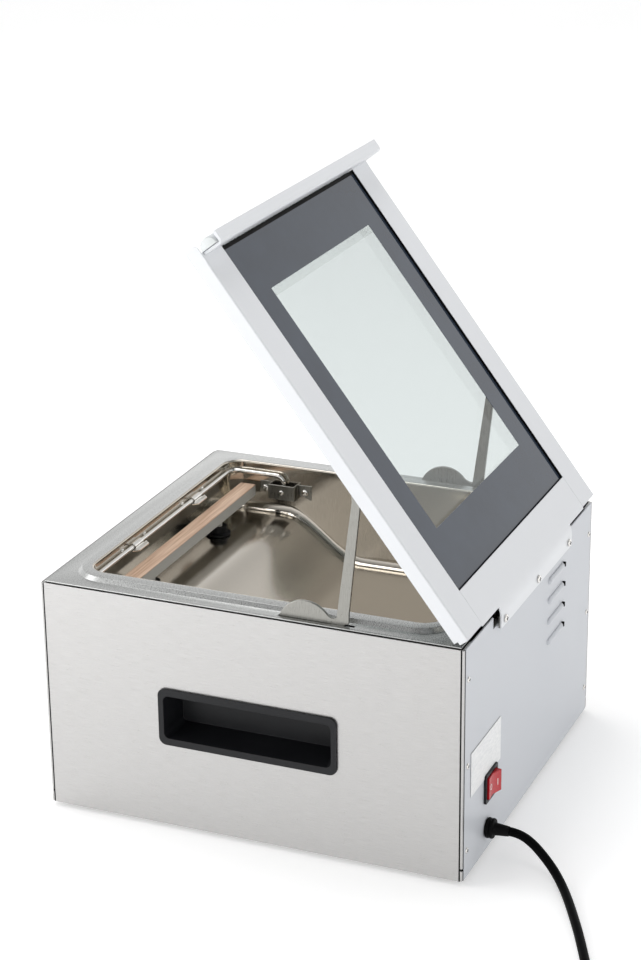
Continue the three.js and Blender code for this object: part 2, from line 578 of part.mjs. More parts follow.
// the rear cross-piece runs round a wide bend into the tab that the hinge screws hold
function lidRear() {
  const start = alongLid(4.3);
  const profile = (turn, tail) => {
    const [cy, cz] = [start, overFace(-TAB_BEND_R)];
    const shape = new THREE.Shape();
    shape.moveTo(alongLid(PANE_REAR), overFace(0));
    shape.lineTo(start, overFace(0));
    shape.absarc(cy, cz, TAB_BEND_R, Math.PI / 2, Math.PI / 2 - turn, true);
    const out = [Math.sin(turn), Math.cos(turn)];
    const down = [Math.cos(turn), -Math.sin(turn)];
    const tip = [cy + TAB_BEND_R * out[0] + tail * down[0], cz + TAB_BEND_R * out[1] + tail * down[1]];
    if (tail > 0) shape.lineTo(...tip);
    shape.lineTo(tip[0] - SHEET * out[0], tip[1] - SHEET * out[1]);
    shape.absarc(cy, cz, TAB_BEND_R - SHEET, Math.PI / 2 - turn, Math.PI / 2, false);
    shape.lineTo(alongLid(PANE_REAR), overFace(-SHEET));
    return shape;
  };
  const tab = alongX(profile(Math.PI / 2 - OPEN, TAB_L), -TAB_HALF_W, TAB_HALF_W, 6);
  const shoulder = alongX(profile(0.24, 0), -PANE_HALF_W + 0.2, PANE_HALF_W - 0.2, 6);
  const screwHoles = TAB_SCREW_XS.map((x) => rod('y', 2.2, 30, [x, TAB_OUT - 15 - HINGE_Y, TAB_SCREW_Z - HINGE_Z], 12)
    .rotateX(OPEN));
  add('lid_rear_plate', cut(join(tab, shoulder), ...screwHoles), whitePaint(), lid);
}

// full-width grip along the lid's front edge: a wall, a flat top and a half-round nose below it
function lidGrip() {
  const [top, bend, wall, roof] = [21, 4, 2.6, 3.2];
  const back = alongLid(PANE_FRONT);
  const shape = new THREE.Shape();
  shape.moveTo(back, overFace(GAP));
  shape.lineTo(back, overFace(top - bend));
  shape.absarc(back - bend, overFace(top - bend), bend, 0, Math.PI / 2);
  shape.lineTo(back - GRIP_DEPTH, overFace(top));
  shape.lineTo(back - GRIP_DEPTH, overFace(top - roof));
  shape.lineTo(back - wall, overFace(top - roof));
  shape.lineTo(back - wall, overFace(GAP));
  const skirt = box(-PANE_HALF_W + 0.2, PANE_HALF_W - 0.2, back - wall, back, overFace(-LID_FLANGE), overFace(1));
  add('lid_front_lip', join(alongX(shape, -174, 174, 5), skirt), whitePaint(), lid);
  const nose = new THREE.Shape();
  nose.absarc(back - wall - GAP, overFace(8.8), 8.6, -Math.PI / 2, Math.PI / 2, true);
  add('lid_grip_nose', alongX(nose, -176.6, 176.6, 8), look(0xe3e6e6, 0.5, 0), lid);
}

function lidGlass() {
  const [front, rear] = [alongLid(PANE_FRONT - GAP), alongLid(10)];
  const pane = box(-166, 166, front, rear, overFace(GLASS_TOP - GLASS_T), overFace(GLASS_TOP));
  const glass = look(0xc6d4d2, 0.05, 0);
  glass.transparent = true;
  glass.opacity = 0.35;
  add('lid_glass', pane, glass, lid);
  // the gasket meets the raised ring round the chamber when the lid is shut
  const under = GLASS_TOP - GLASS_T - GAP;
  const plan = (inset) => roundedRect(-161 + inset, 161 - inset, RING.front + 4 - HINGE_Y + inset,
    RING.rear - 4.4 - HINGE_Y - inset, 29 - inset);
  const seal = plan(0);
  seal.holes.push(new THREE.Path(plan(6).getPoints(6)));
  add('lid_gasket', alongZ(seal, overFace(under - 2), overFace(under)), look(0xd9dad6, 0.6, 0), lid);
  const middle = (BAR.y0 + BAR.y1) / 2 - HINGE_Y;
  const strip = box(-140, 140, middle - 5, middle + 5, overFace(under - 11), overFace(under));
  add('counter_bar', strip, look(0xdfe0dc, 0.55, 0), lid);
}

// a point of the lid's side view, with the lid open, as (y, z) of the machine
function openPoint(s, n) {
  const [y, z] = [alongLid(s), overFace(n)];
  return [HINGE_Y + y * Math.cos(OPEN) + z * Math.sin(OPEN), HINGE_Z - y * Math.sin(OPEN) + z * Math.cos(OPEN)];
}

// ---- stay arms: flat bars hung from pivots inside the lid's side flanges, which dive through the slots ----
function stayArms() {
  const deg = THREE.MathUtils.degToRad;
  const [px, pz] = openPoint(ARM_PIVOT.s, ARM_PIVOT.n);
  const z = (h) => FLANGE_TOP + h;
  const [foot, footZ, r] = [52, z(-8.2), 25.2];
  const shape = new THREE.Shape();
  shape.moveTo(77, z(-7));
  shape.lineTo(62, z(-13));
  shape.lineTo(40, z(-11));
  shape.absarc(foot, footZ, r, deg(161), deg(38), true);
  shape.quadraticCurveTo(75.6, z(4.1), 80.2, z(4.7));
  shape.lineTo(94.9, z(111.8));
  shape.absarc(px, pz, 5.25, deg(172), deg(-8), true);
  shape.lineTo(91.6, z(10.8));
  shape.lineTo(91.4, z(2.5));
  shape.quadraticCurveTo(91.2, z(1.2), 89, z(1.2));
  const plate = alongX(shape, ARM_X - ARM_T / 2, ARM_X + ARM_T / 2, 8);
  const pivot = rod('x', 3, LID_HALF_W - SHEET - GAP - ARM_X, [ARM_X, px, pz], 16);
  addPair('*_stay_arm', join(plate, pivot), brushedSteel());
}

// ---- mains lead: along the table from the gland to a tied coil, and on to its plug ----
const CORD_ROUTE = [
  [117.9, 217.6, 25], [118, 220.4, 25], [118.9, 227, 24.4], [120.9, 234, 22.9], [124.4, 241.6, 20.3],
  [128.7, 249, 17], [133.6, 256.3, 13.4], [139.6, 263.6, 9.9], [147, 270.6, 6.9], [156, 277.3, 4.9], [167.5, 284.3, 4],
  [182.3, 292.2, 4], [199, 300.6, 4], [217, 309.4, 4], [237, 318.6, 4], [258, 327.9, 4], [278, 336.6, 4],
  [298, 345.2, 4.7], [319.1, 354.3, 5.8],
];
const HEADING = new THREE.Vector2(20, 8.64).normalize(); // of the lead where it meets the coil

function mainsLead() {
  const { x, z, r, out, boot } = GLAND;
  const profile = [
    [0, -12], [6, -12], [6, 0], [r - 1, 0], [r, 1.2], [r, out - 2], [r - 1.6, out], [5.8, out],
    [5.1, out + boot * 0.5], [4.4, out + boot], [0, out + boot],
  ];
  add('cable_gland', turned('y', profile, [x, HALF_D + GAP, z], 24), blackPlastic());
  add('power_cord', tubeAlong(CORD_ROUTE.map((p) => new THREE.Vector3(...p)), CORD_R, 10), rubber());

  const { x: cx, y: cy, inner, outer, low, high, top } = COIL;
  const bundle = [[inner, low], [outer, low], [outer, high], [outer - 3, top - 1], [outer - 4, top],
    [inner + 4, top], [inner, high], [inner, low]];
  add('cord_coil', turned('z', bundle, [cx, cy, 0], 32), rubber());

  // a strap round the bundle, across from where the lead comes in
  const strap = alongX(roundedRect(inner - 1.9, outer + 1.9, low - 1.6, top + 1.9, 3), -4, 4, 3);
  const gap = alongX(roundedRect(inner - 0.7, outer + 0.7, low - 0.7, top + 0.7, 0.8), -9, 9, 3);
  const tie = add('cord_tie', cut(strap, gap), blackPlastic());
  tie.position.set(cx, cy, 0);
  tie.rotation.z = HEADING.angle() + Math.PI;

  // the tail leaves the top of the bundle, at right angles to the incoming lead
  const turn = (inner + outer) / 2;
  const along = new THREE.Vector3(HEADING.y, -HEADING.x, 0);
  const start = new THREE.Vector3(cx + HEADING.x * turn, cy + HEADING.y * turn, top - CORD_R);
  const at = (d, h) => start.clone().addScaledVector(along, d).setZ(h);
  const level = top - CORD_R;
  const tail = [at(33, level), at(46, level - 0.6), at(59, level - 2.2), at(72, PLUG.r + GAP)];
  add('cord_tail', tubeAlong(tail, CORD_R, 10), rubber());
  const plug = new THREE.Group();
  plug.position.copy(at(72 + GAP, PLUG.r + GAP));
  plug.rotation.z = HEADING.angle();
  machine.add(plug);
  const body = [[0, 0], [4.6, 0], [5.6, 22], [12, 30], [PLUG.r, 38], [PLUG.r, 58], [PLUG.r - 1.5, 60], [0, 60]];
  const pins = [-9.5, 9.5].map((w) => rod('y', 2.4, 26, [w, -79, 0], 14));
  const bridge = box(-11, 11, -58, -52, -2, 2);
  const pocket = box(-12.4, 12.4, -60.5, -51.6, -2.8, 2.8);
  add('plug_body', cut(turned('-y', body, [0, 0, 0], 24), pocket), blackPlastic(), plug);
  add('plug_pins', join(...pins, bridge), brushedSteel(), plug);
}

feet();
basePan();
caseFrame();
sidePanels();
carryHandles();
frontPanel();
rearPanel();
ratingPlate();
controls();
powerSwitch();
chamberBasin();
chamberPort();
sealBar();
bagBail();
bailBrackets();
insides();
hinge();
lidSides();
lidRear();
lidGrip();
lidGlass();
stayArms();
mainsLead();

export default machine;
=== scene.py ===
# A table-top chamber vacuum sealer with its glazed lid open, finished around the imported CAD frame.
import json
import math

import bmesh
import bpy
from mathutils import Matrix, Vector

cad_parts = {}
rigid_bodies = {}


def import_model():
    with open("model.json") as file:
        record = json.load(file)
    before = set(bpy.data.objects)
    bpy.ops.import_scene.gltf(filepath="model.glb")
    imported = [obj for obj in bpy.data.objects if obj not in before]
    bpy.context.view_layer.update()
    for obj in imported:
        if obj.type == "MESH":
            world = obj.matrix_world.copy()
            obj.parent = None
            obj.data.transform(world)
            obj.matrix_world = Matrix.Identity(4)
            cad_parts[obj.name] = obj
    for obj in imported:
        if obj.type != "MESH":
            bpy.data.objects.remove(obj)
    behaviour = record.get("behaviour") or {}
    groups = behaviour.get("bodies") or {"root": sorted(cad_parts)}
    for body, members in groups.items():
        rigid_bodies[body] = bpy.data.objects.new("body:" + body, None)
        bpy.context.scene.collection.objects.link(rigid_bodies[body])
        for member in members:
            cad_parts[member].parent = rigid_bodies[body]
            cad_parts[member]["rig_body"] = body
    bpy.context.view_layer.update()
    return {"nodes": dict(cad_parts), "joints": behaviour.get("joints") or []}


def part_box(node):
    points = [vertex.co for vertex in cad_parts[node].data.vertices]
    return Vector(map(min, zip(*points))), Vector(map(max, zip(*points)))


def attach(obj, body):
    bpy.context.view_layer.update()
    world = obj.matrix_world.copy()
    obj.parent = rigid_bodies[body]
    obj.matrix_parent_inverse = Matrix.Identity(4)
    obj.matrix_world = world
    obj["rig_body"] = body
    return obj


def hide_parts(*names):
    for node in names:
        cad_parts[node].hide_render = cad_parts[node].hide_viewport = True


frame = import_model()
NODES = frame["nodes"]
MM = 0.001
HANDS = (("left", -1), ("right", 1))

# ---- places, in metres, worked out from the frame ----
LID_HINGE = next(j for j in frame["joints"] if j["name"] == "lid_hinge")
HINGE = Vector(LID_HINGE["pos_m"])
OPEN = math.radians(-LID_HINGE["range_deg"][0])
LID_FACE = 0.021  # the lid's outer face above the hinge axis, with the lid shut
LID_REAR = -0.00134  # its rear edge, from the hinge axis
TO_REST = Matrix.Translation(HINGE) @ Matrix.Rotation(-OPEN, 4, "X")
REAR = -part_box("front_panel")[0].y  # the rear panel's flat face, which the louvres stand out from
RING_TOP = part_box("chamber_basin")[1].z


def lid_point(x, s, n):
    """A point of the lid at rest: s along it from its rear edge, n above its outer face."""
    return TO_REST @ Vector((x, LID_REAR - s, LID_FACE + n))


# ---- camera ----
CAMERA_AZIMUTH = math.radians(22.98)  # from +X towards +Y
CAMERA_ELEVATION = math.radians(20.81)
CAMERA_ROLL = math.radians(-0.68)
CAMERA_PLACE = (1.8572, 0.7820, 1.0435)
LENS_MM = 89.85
SENSOR_MM = 36


def camera():
    back = Vector((
        math.cos(CAMERA_ELEVATION) * math.cos(CAMERA_AZIMUTH),
        math.cos(CAMERA_ELEVATION) * math.sin(CAMERA_AZIMUTH),
        math.sin(CAMERA_ELEVATION),
    ))
    level = Vector((-math.sin(CAMERA_AZIMUTH), math.cos(CAMERA_AZIMUTH), 0))
    rise = back.cross(level)
    right = math.cos(CAMERA_ROLL) * level + math.sin(CAMERA_ROLL) * rise
    up = back.cross(right)
    data = bpy.data.cameras.new("camera")
    data.lens = LENS_MM
    data.sensor_width = SENSOR_MM
    data.clip_end = 100
    obj = bpy.data.objects.new("camera", data)
    obj.matrix_world = Matrix((right, up, back)).transposed().to_4x4()
    obj.location = CAMERA_PLACE
    bpy.context.scene.collection.objects.link(obj)
    bpy.context.scene.camera = obj


camera()


# ---- building pieces ----
WELD = 1e-6  # points nearer than this are one point
FLAT_DEG = 0.6  # faces that meet at less than this are one face
AREA_SLACK = 0.06  # share of a mesh's area that rounding its edges may change


def link(name, data, body=None, node=None, material=None):
    """Puts a new object in the scene, riding on a body and standing for CAD nodes."""
    obj = bpy.data.objects.new(name, data)
    bpy.context.scene.collection.objects.link(obj)
    if material:
        data.materials.clear()
        data.materials.append(material)
    if body:
        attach(obj, body)
    if node:
        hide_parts(*([node] if isinstance(node, str) else node))
    return obj


def finish_mesh(bm, name, smooth_deg=35):
    """Turns a bmesh into a mesh with smooth faces and sharp edges past an angle."""
    bmesh.ops.recalc_face_normals(bm, faces=bm.faces)
    mesh = bpy.data.meshes.new(name)
    bm.to_mesh(mesh)
    bm.free()
    mesh.polygons.foreach_set("use_smooth", [True] * len(mesh.polygons))
    mesh.set_sharp_from_angle(angle=math.radians(smooth_deg))
    return mesh


def bevel_edges(bm, width, segments=2, min_deg=30):
    sharp = [e for e in bm.edges if len(e.link_faces) == 2 and e.calc_face_angle(0) > math.radians(min_deg)]
    bmesh.ops.bevel(bm, geom=sharp, offset=width, segments=segments, profile=0.5, affect="EDGES",
                    clamp_overlap=True)


def area(bm):
    """The area of a mesh as it will be drawn, in triangles."""
    corners = ([loop.vert.co for loop in triangle] for triangle in bm.calc_loop_triangles())
    return sum((b - a).cross(c - a).length / 2 for a, b, c in corners)


def eased(bm, width, segments=2, min_deg=30):
    """Joins flat triangles and rounds sharp edges, but never fills a hole in a face."""
    bmesh.ops.remove_doubles(bm, verts=bm.verts, dist=WELD)
    whole = area(bm)
    for merge, size in ((True, width), (False, width), (False, width / 3)):
        made = bm.copy()
        if merge:
            bmesh.ops.dissolve_limit(made, angle_limit=math.radians(FLAT_DEG), verts=made.verts,
                                     edges=made.edges)
        bevel_edges(made, size, segments, min_deg)
        if abs(area(made) - whole) < whole * AREA_SLACK:
            bm.free()
            return made
        made.free()
    return bm


def bevelled(node, width):
    """A copy of a CAD node with its sharp edges rounded, standing for it."""
    source = NODES[node]
    bm = bmesh.new()
    bm.from_mesh(source.data)
    mesh = finish_mesh(eased(bm, width), node)
    piece = link(node + "_fine", mesh, source["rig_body"], node, MATERIAL[node])
    piece.modifiers.new("face_normals", "WEIGHTED_NORMAL").keep_sharp = True
    return piece


def prism(outline, place, name, body, material, node=None, bevel=0.0):
    """A closed outline carried to both of its ends by place(point, end) and joined."""
    bm = bmesh.new()
    ends = [[bm.verts.new(place(p, end)) for p in outline] for end in (0, 1)]
    for i in range(len(outline)):
        j = (i + 1) % len(outline)
        bm.faces.new((ends[0][i], ends[0][j], ends[1][j], ends[1][i]))
    for ring in ends:
        bm.faces.new(ring)
    if bevel:
        bmesh.ops.recalc_face_normals(bm, faces=bm.faces)
        bevel_edges(bm, bevel)
    return link(name, finish_mesh(bm, name), body, node, material)


def arc(cx, cy, r, start_deg, end_deg, steps):
    """Points along part of a circle."""
    turns = [math.radians(start_deg + (end_deg - start_deg) * i / steps) for i in range(steps + 1)]
    return [(cx + r * math.cos(t), cy + r * math.sin(t)) for t in turns]


def lathe(profile, axis, at, name, body, material, node=None, sides=48):
    """A turned piece: profile is (radius, distance along axis) from a point, ends on the axis."""
    along = Vector(axis).normalized()
    across = along.orthogonal().normalized()
    other = along.cross(across)
    bm = bmesh.new()
    rings = []
    for r, d in profile:
        centre = Vector(at) + along * d
        if r == 0:
            rings.append([bm.verts.new(centre)])
            continue
        turns = [2 * math.pi * k / sides for k in range(sides)]
        rings.append([bm.verts.new(centre + r * (across * math.cos(t) + other * math.sin(t)))
                      for t in turns])
    for a, b in zip(rings, rings[1:]):
        for k in range(sides):
            m = (k + 1) % sides
            corners = [a[k % len(a)], a[m % len(a)], b[m % len(b)], b[k % len(b)]]
            corners = list(dict.fromkeys(corners))
            if len(corners) > 2:
                bm.faces.new(corners)
    return link(name, finish_mesh(bm, name), body, node, material)


def wire(points, radius, name, body, material, node=None):
    """A round wire along a polyline, as a capped curve of one open spline."""
    curve = bpy.data.curves.new(name, "CURVE")
    curve.dimensions = "3D"
    curve.bevel_depth = radius
    curve.bevel_resolution = 6
    curve.use_fill_caps = True
    spline = curve.splines.new("POLY")
    spline.points.add(len(points) - 1)
    for point, p in zip(spline.points, points):
        point.co = (*p, 1)
    return link(name, curve, body, node, material)


def rounded_path(corners, r, steps=8):
    """A polyline with its inner corners rounded."""
    spots = [Vector(c) for c in corners]
    path = [spots[0]]
    for before, here, after in zip(spots, spots[1:], spots[2:]):
        a = here + (before - here).normalized() * r
        b = here + (after - here).normalized() * r
        for i in range(steps + 1):
            t = i / steps
            path.append(a * (1 - t) ** 2 + here * 2 * t * (1 - t) + b * t * t)
    path.append(spots[-1])
    return path


# ---- materials ----
NOISE = "ShaderNodeTexNoise"
WAVE = "ShaderNodeTexWave"
FACTOR_LOW, FACTOR_HIGH = 0.3, 0.7  # the stretch of a texture's factor that is put to use


def srgb(r, g, b):
    """A colour given as 0 to 255 screen values."""
    return tuple(c / 255 / 12.92 if c <= 10 else ((c / 255 + 0.055) / 1.055) ** 2.4
                 for c in (r, g, b)) + (1,)


def principled(name, color, roughness, metallic=0.0, **sockets):
    material = bpy.data.materials.new(name)
    material.use_nodes = True
    shader = material.node_tree.nodes["Principled BSDF"]
    shader.inputs["Base Color"].default_value = color
    shader.inputs["Roughness"].default_value = roughness
    shader.inputs["Metallic"].default_value = metallic
    for socket, value in sockets.items():
        shader.inputs[socket.replace("_", " ")].default_value = value
    return material


def texture(material, kind, scale, stretch=(1, 1, 1), turn=(0, 0, 0), **settings):
    """A procedural texture in the machine's own coordinates; gives its factor output."""
    tree = material.node_tree
    place = tree.nodes.new("ShaderNodeTexCoord")
    mapping = tree.nodes.new("ShaderNodeMapping")
    mapping.inputs["Scale"].default_value = stretch
    mapping.inputs["Rotation"].default_value = turn
    pattern = tree.nodes.new(kind)
    pattern.inputs["Scale"].default_value = scale
    for socket, value in settings.items():
        pattern.inputs[socket].default_value = value
    tree.links.new(place.outputs["Object"], mapping.inputs["Vector"])
    tree.links.new(mapping.outputs["Vector"], pattern.inputs["Vector"])
    return pattern.outputs[0]


def spread(material, factor, low, high):
    """Varies the roughness between two values by a texture's factor."""
    tree = material.node_tree
    ramp = tree.nodes.new("ShaderNodeMapRange")
    ramp.inputs["From Min"].default_value = FACTOR_LOW
    ramp.inputs["From Max"].default_value = FACTOR_HIGH
    ramp.inputs["To Min"].default_value = low
    ramp.inputs["To Max"].default_value = high
    tree.links.new(factor, ramp.inputs["Value"])
    tree.links.new(ramp.outputs["Result"], tree.nodes["Principled BSDF"].inputs["Roughness"])


def tint(material, factor, dark, light):
    """Varies the base colour between two colours by a texture's factor."""
    tree = material.node_tree
    ramp = tree.nodes.new("ShaderNodeValToRGB")
    for stop, position, color in zip(ramp.color_ramp.elements, (FACTOR_LOW, FACTOR_HIGH), (dark, light)):
        stop.position = position
        stop.color = color
    tree.links.new(factor, ramp.inputs["Fac"])
    tree.links.new(ramp.outputs["Color"], tree.nodes["Principled BSDF"].inputs["Base Color"])


def bump(material, factor, height, strength=1.0):
    tree = material.node_tree
    node = tree.nodes.new("ShaderNodeBump")
    node.inputs["Strength"].default_value = strength
    node.inputs["Distance"].default_value = height
    tree.links.new(factor, node.inputs["Height"])
    tree.links.new(node.outputs["Normal"], tree.nodes["Principled BSDF"].inputs["Normal"])


def scaled(color, k):
    """A colour made darker or lighter."""
    return tuple(min(1, c * k) for c in color[:3]) + (1,)


def brushed(name, color, roughness, stretch, grain=0.00002, variation=0.06):
    """Sheet metal with a fine directional grain."""
    material = principled(name, color, roughness, 1.0)
    fine = texture(material, NOISE, 60, stretch, Detail=4, Roughness=0.7)
    spread(material, fine, roughness - variation, roughness + variation)
    tint(material, fine, scaled(color, 0.88), scaled(color, 1.08))
    bump(material, fine, grain)
    return material


def painted(name, color, roughness):
    """Powder-coated metal with a slight orange peel."""
    material = principled(name, color, roughness)
    grain = texture(material, NOISE, 900, Detail=3, Roughness=0.6)
    cloud = texture(material, NOISE, 9, Detail=2)
    spread(material, cloud, roughness - 0.05, roughness + 0.05)
    tint(material, cloud, scaled(color, 0.985), scaled(color, 1.01))
    bump(material, grain, 0.00003, 0.5)
    return material


def moulded(name, color, roughness, height=0.00004, **sockets):
    """Moulded plastic or rubber with a fine texture of some height."""
    material = principled(name, color, roughness, **sockets)
    grain = texture(material, NOISE, 1400, Detail=2, Roughness=0.6)
    cloud = texture(material, NOISE, 30, Detail=3)
    spread(material, cloud, roughness - 0.06, roughness + 0.06)
    tint(material, cloud, scaled(color, 0.9), scaled(color, 1.1))
    bump(material, grain, height, 0.6)
    return material


def clear_glass(name, color):
    """Flat glass: tinted straight-through light with a reflection that grows at a slant."""
    material = bpy.data.materials.new(name)
    material.use_nodes = True
    tree = material.node_tree
    tree.nodes.remove(tree.nodes["Principled BSDF"])
    through = tree.nodes.new("ShaderNodeBsdfTransparent")
    through.inputs["Color"].default_value = color
    gloss = tree.nodes.new("ShaderNodeBsdfGlossy")
    gloss.inputs["Roughness"].default_value = 0.01
    slant = tree.nodes.new("ShaderNodeLayerWeight")
    slant.inputs["Blend"].default_value = 0.07
    mix = tree.nodes.new("ShaderNodeMixShader")
    tree.links.new(slant.outputs["Facing"], mix.inputs["Fac"])
    tree.links.new(through.outputs["BSDF"], mix.inputs[1])
    tree.links.new(gloss.outputs["BSDF"], mix.inputs[2])
    tree.links.new(mix.outputs["Shader"], tree.nodes["Material Output"].inputs["Surface"])
    return material


CASE_STEEL = brushed("case_steel", srgb(190, 189, 188), 0.34, (60, 1, 60), 0.00003, 0.12)
FRONT_STEEL = brushed("front_steel", srgb(199, 198, 197), 0.34, (1, 60, 60))
PLATE_STEEL = brushed("plate_steel", srgb(150, 149, 144), 0.3, (20, 20, 2))
CHAMBER_STEEL = brushed("chamber_steel", srgb(198, 192, 182), 0.15, (30, 30, 2), 0.00001, 0.05)
DECK_STEEL = brushed("deck_steel", srgb(184, 185, 184), 0.28, (20, 20, 20), 0.00001, 0.05)
BRIGHT = brushed("bright_steel", srgb(228, 226, 222), 0.12, (8, 8, 8), 0.00001, 0.04)
SEAL_METAL = painted("seal_metal", srgb(214, 212, 206), 0.34)
REAR_PAINT = painted("rear_paint", srgb(194, 197, 202), 0.4)
LID_PAINT = painted("lid_paint", srgb(221, 223, 226), 0.38)
GRIP_GREY = painted("grip_grey", srgb(198, 201, 203), 0.4)
CAP_GREY = moulded("cap_grey", srgb(206, 210, 210), 0.45)
BLACK = moulded("black_plastic", srgb(16, 17, 20), 0.44, Specular_IOR_Level=0.3)
BLACK_GLOSS = moulded("black_gloss", srgb(14, 15, 17), 0.12, 0.00001)
RUBBER = moulded("black_rubber", srgb(8, 8, 9), 0.6, Specular_IOR_Level=0.1)
CORD_PVC = moulded("cord_pvc", srgb(5, 5, 6), 0.5, Specular_IOR_Level=0.04)
PALE_RUBBER = moulded("pale_silicone", srgb(222, 222, 216), 0.55)
RED = moulded("rocker_red", srgb(176, 14, 28), 0.22, 0.00001)
BUTTON_GREY = moulded("button_grey", srgb(190, 194, 196), 0.4)
PRINT = moulded("glass_print", srgb(48, 57, 70), 0.05, 0.000001)
WINDOW = clear_glass("lid_glass", (0.77, 0.80, 0.797, 1))
CLEAR_SILICONE = clear_glass("clear_silicone", (0.99, 0.995, 0.99, 1))
IRON = painted("pump_paint", srgb(96, 102, 106), 0.5)
BRASS = brushed("brass", srgb(196, 176, 120), 0.32, (10, 10, 10))
VARNISH = moulded("varnished_core", srgb(110, 72, 38), 0.45)
BOARD = moulded("circuit_board", srgb(30, 84, 50), 0.4)


def seal_tape():
    """Tan woven tape with its threads along the bar."""
    material = principled("seal_tape", srgb(220, 190, 164), 0.6)
    weave = texture(material, NOISE, 420, (0.03, 1, 1), Detail=3, Roughness=0.7)
    tint(material, weave, srgb(182, 142, 112), srgb(236, 208, 184))
    bump(material, weave, 0.00006, 0.6)
    return material


def label_film():
    """Off-white film, faintly clouded and ribbed, with nothing printed on it."""
    material = principled("label_film", srgb(232, 233, 232), 0.35)
    rows = texture(material, WAVE, 55, (0, 0, 1), (0, math.pi / 2, 0))
    cloud = texture(material, NOISE, 200, (1, 1, 8), Detail=3)
    tint(material, cloud, srgb(214, 216, 217), srgb(240, 240, 239))
    bump(material, rows, 0.00001, 0.3)
    return material


SEAL_TAPE = seal_tape()
MARK = painted("mark_white", srgb(238, 236, 232), 0.4)
LAMP = moulded("panel_lamp", srgb(60, 150, 70), 0.2, 0.00001)
LABEL = label_film()

MATERIAL_OF = {
    CASE_STEEL: ["left_side_panel", "right_side_panel", "case_frame"],
    FRONT_STEEL: ["front_panel", "base_pan"],
    PLATE_STEEL: ["left_stay_arm", "right_stay_arm", "left_bail_bracket", "right_bail_bracket", "hinge_bracket",
                  "hinge_leaf", "lid_spring"],
    CHAMBER_STEEL: ["chamber_basin"],
    BRIGHT: ["bag_bail", "left_bag_clip", "right_bag_clip", "lid_screw_1", "lid_screw_2", "lid_screw_3",
             "hinge_pin", "plug_pins"],
    SEAL_METAL: ["seal_bar"],
    SEAL_TAPE: ["seal_bar_tape"],
    REAR_PAINT: ["rear_panel"],
    LID_PAINT: ["lid_left_side", "lid_right_side", "lid_rear_plate", "lid_front_lip"],
    GRIP_GREY: ["lid_grip_nose"],
    BLACK: ["left_carry_handle", "right_carry_handle", "control_panel", "switch_bezel", "seal_bar_lift",
            "cord_tie", "cable_gland", "plug_body"],
    BLACK_GLOSS: ["display_window"],
    RUBBER: ["left_front_foot", "right_front_foot", "left_rear_foot", "right_rear_foot", "vacuum_hose"],
    CORD_PVC: ["power_cord", "cord_coil", "cord_tail"],
    PALE_RUBBER: ["lid_gasket"],
    CLEAR_SILICONE: ["counter_bar"],
    RED: ["power_rocker"],
    BUTTON_GREY: ["push_button_1", "push_button_2", "push_button_3"],
    WINDOW: ["lid_glass"],
    LABEL: ["rating_plate"],
    IRON: ["pump_motor", "pump_head"],
    BRASS: ["chamber_port", "solenoid_valve"],
    VARNISH: ["transformer"],
    BOARD: ["control_board"],
}
MATERIAL = {node: material for material, nodes in MATERIAL_OF.items() for node in nodes}
for node, material in MATERIAL.items():
    NODES[node].data.materials.clear()
    NODES[node].data.materials.append(material)


# ---- mains lead ----
CORD_R = 4 * MM
CORD_ROUTE = [  # from the gland to the coil, in mm
    [117.9, 217.6, 25], [118, 220.4, 25], [118.9, 227, 24.4], [120.9, 234, 22.9], [124.4, 241.6, 20.3],
    [128.7, 249, 17], [133.6, 256.3, 13.4], [139.6, 263.6, 9.9], [147, 270.6, 6.9], [156, 277.3, 4.9],
    [167.5, 284.3, 4], [182.3, 292.2, 4], [199, 300.6, 4], [217, 309.4, 4], [237, 318.6, 4], [258, 327.9, 4],
    [278, 336.6, 4], [298, 345.2, 4.7], [319.1, 354.3, 5.8],
]
HEADING = Vector((20, 8.64, 0)).normalized()  # of the lead where it meets the coil
SIDEWAYS = Vector((HEADING.y, -HEADING.x, 0))
COIL_TURNS = [(47.5, 0, 1), (39.5, 0, 1), (39.5, 8, 1), (47.5, 8, 1), (43.5, 16, 1.25)]  # radius, rise, turns
LAST_RADIUS = COIL_TURNS[-1][0]
LOW_TURN = 5.9  # height of the lowest turn's centre
TURN_STEPS = 32
EASE_FROM = 0.6  # the share of a turn after which it eases into the next
TAIL = [(0, 21.9), (16, 21.9), (33, 21.9), (46, 21.3), (59, 19.7), (72, 18.8)]  # sideways from the coil, height
PLUG_AT = (72.3, 18.8)
GLAND_ZERO = 0.3  # where the gland's profile starts, outside the panel
GLAND_PROFILE = [  # radius, distance out
    (0, -12), (6, -12), (6, 0), (8, 0), (9, 0.8), (9.2, 2), (9, 3.1), (8.3, 3.7), (8.3, 4), (8.9, 4.6),
    (9.1, 5.6), (8.6, 6.9), (7.2, 7.4), (6, 7.5), (5.6, 8.2), (5.2, 12), (4.7, 18), (4.45, 20.3), (0, 20.3),
]
PLUG_PROFILE = [  # radius, distance from the lead's end
    (0, 0), (4.6, 0), (4.8, 4), (4.4, 5), (5, 9), (4.6, 10), (5.2, 14), (4.9, 15), (5.6, 20), (7, 24),
    (11, 29), (16.5, 34.5), (18.3, 38), (18.5, 40), (18.5, 47), (18, 48), (18, 50), (18.5, 51),
    (18.5, 57.6), (17.8, 59.3), (16.6, 60), (0, 60),
]
PLUG_EDGE = 0.4  # rounding of the pins' and the tie's edges


def smooth_path(points, steps):
    """Points along a Catmull-Rom curve through the given ones."""
    spots = [Vector(p) for p in points]
    spots = [spots[0] * 2 - spots[1], *spots, spots[-1] * 2 - spots[-2]]
    path = []
    for a, b, c, d in zip(spots, spots[1:], spots[2:], spots[3:]):
        for i in range(steps):
            t = i / steps
            path.append(0.5 * (2 * b + (c - a) * t + (2 * a - 5 * b + 4 * c - d) * t * t
                               + (3 * b - a - 3 * c + d) * t ** 3))
    path.append(spots[-2])
    return path


